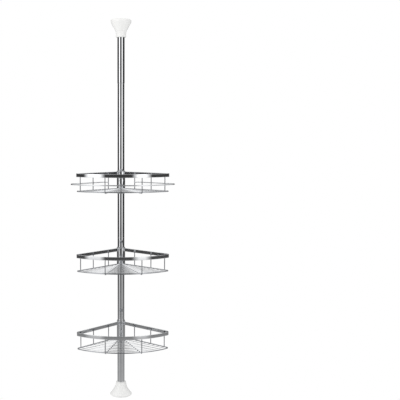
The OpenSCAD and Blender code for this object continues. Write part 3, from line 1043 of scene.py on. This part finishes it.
sleeveShape = {
    "wall": 1 * mm,
    "round": 0.35 * mm,
    "lipHeight": 2.5 * mm,
    "lipOut": 0.35 * mm,
    "lipFrom": 0.7,  # where the lip stands out fully, down from the top, as shares of its height
    "lipTo": 0.2,
}


def makeSleeve(b):
    low, high = b["sleeveZ"]
    outer = b["sleeveRadius"]
    bore = outer - sleeveShape["wall"]
    lip = sleeveShape["lipHeight"]
    swell = outer + sleeveShape["lipOut"]
    line = [(bore, low), (outer, low), (outer, high - lip),
            (swell, high - sleeveShape["lipFrom"] * lip),
            (swell, high - sleeveShape["lipTo"] * lip), (outer, high), (bore, high), (bore, low)]
    piece = turnPart(b["name"] + "Sleeve", line)
    finishPiece(piece, edge=sleeveShape["round"], smooth=40, even=True)
    return dress(piece, b["name"] + "_basket", "basket_chrome", "poleChrome", b["name"] + "_sleeve")


collarShape = {
    "clearance": 0.05 * mm,
    "footWall": 1.2 * mm,
    "seatGap": 0.1 * mm,
    "slit": 0.8 * mm,
    "turnStep": 2,  # degrees
    "coneShares": (0, 0.15, 0.3, 0.7, 0.85, 1),  # the ridges run between the second and fifth
    "ridgeEvery": 5,  # steps from one grip ridge to the next
    "ridgeSteps": 2,
    "ridgeMargin": 0.01 * mm,
    "ridgeShare": 1.022,
    "edge": 0.25 * mm,
}


def makeCollars(b):
    low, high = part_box(b["name"] + "_collar_right")
    bore = {True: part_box("lower_tube"), False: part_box("middle_tube")}[b["name"] == "bottom"][1].x
    bore += collarShape["clearance"]
    gripTop = b["sleeveZ"][0] - collarShape["seatGap"]
    body = b["sleeveRadius"] - sleeveShape["wall"] - collarShape["clearance"]
    foot = bore + collarShape["footWall"]
    cone = [(foot + (b["sleeveRadius"] - foot) * t, low.z + (gripTop - low.z) * t)
            for t in collarShape["coneShares"]]
    line = [(bore, low.z)] + cone + [(body, gripTop), (body, high.z), (bore, high.z)]
    opening = math.degrees(2 * math.asin(collarShape["slit"] / 2 / body))
    for side, turn in (("right", 90 - opening / 2), ("left", 270 - opening / 2)):
        piece = startPiece(b["name"] + "Collar" + side.capitalize())
        drawLine(line)
        bpy.ops.mesh.edge_face_add()
        steps = round((180 - opening) / collarShape["turnStep"])
        bpy.ops.mesh.spin(steps=steps, angle=math.radians(180 - opening), center=(0, 0, 0), axis=up)

        def onRidge(co):
            column = round(-math.degrees(math.atan2(co.y, co.x)) * steps / (180 - opening))
            margin = collarShape["ridgeMargin"]
            inside = cone[1][1] + margin < co.z < cone[4][1] - margin
            raised = column % collarShape["ridgeEvery"] < collarShape["ridgeSteps"]
            return inside and raised and math.hypot(co.x, co.y) > foot

        pickPoints(piece, onRidge)
        bpy.ops.transform.resize(value=(collarShape["ridgeShare"], collarShape["ridgeShare"], 1),
                                 center_override=(0, 0, 0))
        finishPiece(piece, edge=collarShape["edge"], smooth=40, even=True)
        piece.rotation_euler = (0, 0, math.radians(turn))
        bpy.ops.object.transform_apply(location=False, rotation=True, scale=False)
        dress(piece, b["name"] + "_collar", "collar", "collarNylon",
              b["name"] + "_collar_" + side)


weldShape = {
    "swell": 1.16,  # size of a spot over the wire's own
    "flat": 0.75,
    "bandShare": 0.8,  # height of a post's weld on the rim, over the rim's own
    "beadRadius": 1.1 * mm,
    "sleeveSink": 0.6 * mm,  # how deep a spot sinks into the sleeve's wall
}


def addSpot(place, size):
    bpy.ops.mesh.select_all(action="DESELECT")
    bpy.ops.mesh.primitive_ico_sphere_add(subdivisions=2, radius=0.5, location=place)
    bpy.ops.transform.resize(value=size, center_override=place)


def makeWeldSpots(b, rail):
    piece = startPiece(b["name"] + "WeldSpots")
    swell = weldShape["swell"]
    flat = weldShape["flat"]
    heading = supportHeading(b)
    thick = b["postWire"] * swell
    crossZ = (b["wireZ"] + b["supportZ"]) / 2
    for radius, turn in floorWirePlan(b):
        addSpot(heading * radius + up * crossZ, (thick, thick, b["floorWire"] * flat))
        angle = math.radians(turn)
        end = Vector((-math.sin(angle), -math.cos(angle), 0)) * radius
        addSpot(end + up * b["wireZ"], (b["floorWire"] * swell,) * 3)
    for along in b["posts"]:
        foot = wallPoint(along, -b["frameIn"], b["floorZ"] + b["frameWire"] / 2)
        addSpot(foot, (thick, thick, b["postWire"] * flat))
        touch = wallPoint(along, -b["bandThick"] / 2, b["bandZ"])
        tall = weldShape["bandShare"] * b["bandHeight"]
        addSpot(touch, (b["postWire"] * flat, b["postWire"] * flat, tall))
    addSpot(heading * b["supportOut"] + up * (b["supportTop"] - b["weld"]),
            (thick, thick, b["postWire"] * flat))
    addSpot(heading * b["frameRadius"] + up * (b["floorZ"] - b["frameWire"] / 2),
            (thick, thick, b["postWire"] * flat))
    skin = b["sleeveRadius"] - weldShape["sleeveSink"]
    addSpot(heading * (skin + thick / 2) + up * b["supportZ"], (thick,) * 3)
    bead = 2 * weldShape["beadRadius"]
    for side in (-1, 1):
        out = side * b["bandThick"] / 2
        along = math.sqrt((skin + bead / 2) ** 2 - out ** 2)
        addSpot(wallPoint(along, out, b["bandZ"]), (bead, bead, b["bandHeight"]))
    knot = b["frameWire"] * swell
    along = math.sqrt((skin + knot / 2) ** 2 - b["frameIn"] ** 2)
    addSpot(wallPoint(along, -b["frameIn"], b["floorZ"]), (knot,) * 3)
    if rail:
        wire = rail["wire"] * swell
        addSpot(wallPoint(b["rearPost"], -b["frameIn"], rail["z"]), (wire, wire, wire))
        addSpot(wallPoint(b["posts"][2], -b["frameIn"], rail["z"]), (thick,) * 3)
        addSpot(wallPoint(b["posts"][2], rail["out"], rail["z"]), (thick, thick, thick * flat))
        addSpot(heading * b["supportOut"] + up * rail["z"], (thick,) * 3)
        addSpot(heading * rail["radius"] + up * rail["z"], (thick, thick, thick * flat))
    bpy.ops.object.mode_set(mode="OBJECT")
    applyModifier(piece, "MIRROR", use_axis=(True, False, False), use_mirror_merge=False)
    bpy.ops.object.mode_set(mode="EDIT")
    bpy.ops.mesh.select_all(action="SELECT")
    bpy.ops.mesh.normals_make_consistent(inside=False)
    bpy.ops.object.mode_set(mode="OBJECT")
    bpy.ops.object.shade_smooth()
    return dress(piece, b["name"] + "_basket", "basket_chrome", "weldChrome")


def readRail(b):
    low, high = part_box("top_outer_rail")
    return {
        "wire": high.z - low.z,
        "z": (low.z + high.z) / 2,
        "out": railShape["out"],
        "rearBend": railShape["rearBend"],
        "radius": b["bandRadius"] + railShape["out"],
        "corner": b["cornerRadius"] + railShape["out"],
    }


def makeRail(b, rail):
    start = b["rearPost"] + rail["rearBend"]
    moves = outlineMoves(rail["radius"], rail["out"], rail["corner"], start)
    moves += [(rail["rearBend"], 90, down), (rail["out"] - rail["rearBend"] + b["frameIn"],)]
    front = (Vector((0, -rail["radius"], rail["z"])), Vector((-1, 0, 0)), moves)
    piece = bendWires("topOuterRail", [front], rail["wire"])
    dress(piece, "top_basket", "basket_chrome", "wireChrome", "top_outer_rail")
    heading = supportHeading(b)
    stubs = [
        (wallPoint(b["posts"][2], -b["frameIn"], rail["z"]), wallOut,
         [(rail["out"] + b["frameIn"],)]),
        (heading * b["supportOut"] + up * rail["z"], heading, [(rail["radius"] - b["supportOut"],)]),
    ]
    piece = bendWires("topRailStubs", stubs, b["postWire"])
    dress(piece, "top_basket", "basket_chrome", "wireChrome", "top_rail_stubs")


for basketName in ("bottom", "middle", "top"):
    basket = readBasket(basketName)
    rail = readRail(basket) if basketName == "top" else None
    makeBand(basket)
    makeFloorFrame(basket)
    makeFloorWires(basket)
    makeWallPosts(basket)
    makeSupports(basket)
    makeSleeve(basket)
    makeCollars(basket)
    if rail:
        makeRail(basket, rail)
    makeWeldSpots(basket, rail)
    print(basketName, "basket welded up")
